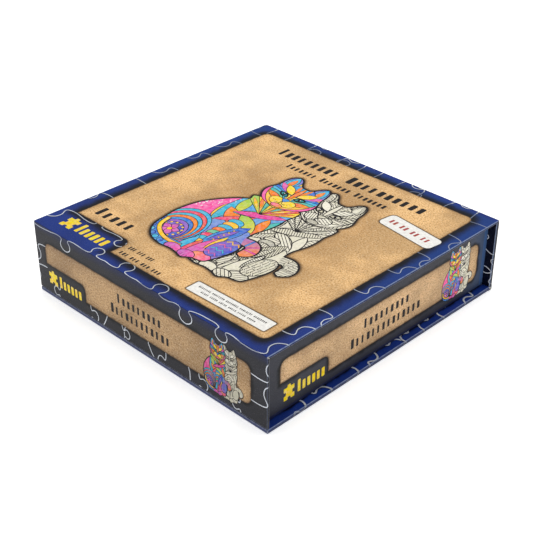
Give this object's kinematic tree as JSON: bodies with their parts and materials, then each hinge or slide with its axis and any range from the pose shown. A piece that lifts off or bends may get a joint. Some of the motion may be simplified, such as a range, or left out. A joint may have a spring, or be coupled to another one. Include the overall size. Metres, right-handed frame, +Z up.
{
  "type": "boxed jigsaw puzzle",
  "caption": "Square rigid gift box with a hinged lid and magnetic front flap, holding a tray of loose wooden jigsaw pieces and a folded picture guide.",
  "frame": {"origin": "centre of the closed box's footprint, on the table", "axes": "+Z up through the lid, +X to the right of the cover as it is read, -Y out through the front flap, +Y out through the spine"},
  "size_m": [0.24, 0.24, 0.0594],
  "materials": {
    "greyboard": "matte",
    "printed_blue": "satin",
    "printed_charcoal": "satin",
    "lining_paper": "matte",
    "gummed_tape": "matte",
    "catch_steel": "satin",
    "magnet_nickel": "satin",
    "birch_ply": "matte",
    "guide_paper": "satin"
  },
  "bodies": {
    "case": {"base_board": "greyboard", "base_wrap": "printed_blue", "base_liner": "lining_paper", "base_fold": "printed_charcoal", "spine_board": "greyboard", "spine_wrap": "printed_charcoal", "spine_liner": "lining_paper", "tray_floor": "greyboard", "tray_front_wall": "greyboard", "tray_back_wall": "greyboard", "tray_left_wall": "greyboard", "tray_right_wall": "greyboard", "tray_corner_tape": "gummed_tape", "tray_wrap": "printed_charcoal", "tray_lining": "lining_paper", "catch_plate_left": "catch_steel", "catch_plate_right": "catch_steel", "puzzle_layer_1": "birch_ply", "puzzle_layer_2": "birch_ply", "puzzle_layer_3": "birch_ply", "puzzle_layer_4": "birch_ply", "puzzle_layer_5": "birch_ply", "puzzle_layer_6": "birch_ply", "picture_guide": "guide_paper"},
    "lid": {"lid_board": "greyboard", "lid_wrap": "printed_blue", "lid_liner": "lining_paper", "lid_fold": "printed_blue"},
    "flap": {"flap_board": "greyboard", "flap_wrap": "printed_charcoal", "flap_liner": "lining_paper", "flap_fold": "printed_charcoal", "flap_magnet_left": "magnet_nickel", "flap_magnet_right": "magnet_nickel"}
  },
  "joints": [
    {"name": "lid_hinge", "type": "hinge", "parent": "case", "child": "lid", "pos_m": [0, 0.12, 0.0594], "axis": [-1, 0, 0], "range_deg": [0, 180], "deforming": ["lid_fold"]},
    {"name": "flap_hinge", "type": "hinge", "parent": "lid", "child": "flap", "pos_m": [0, -0.12, 0.0594], "axis": [-1, 0, 0], "range_deg": [0, 180], "deforming": ["flap_fold"]}
  ]
}
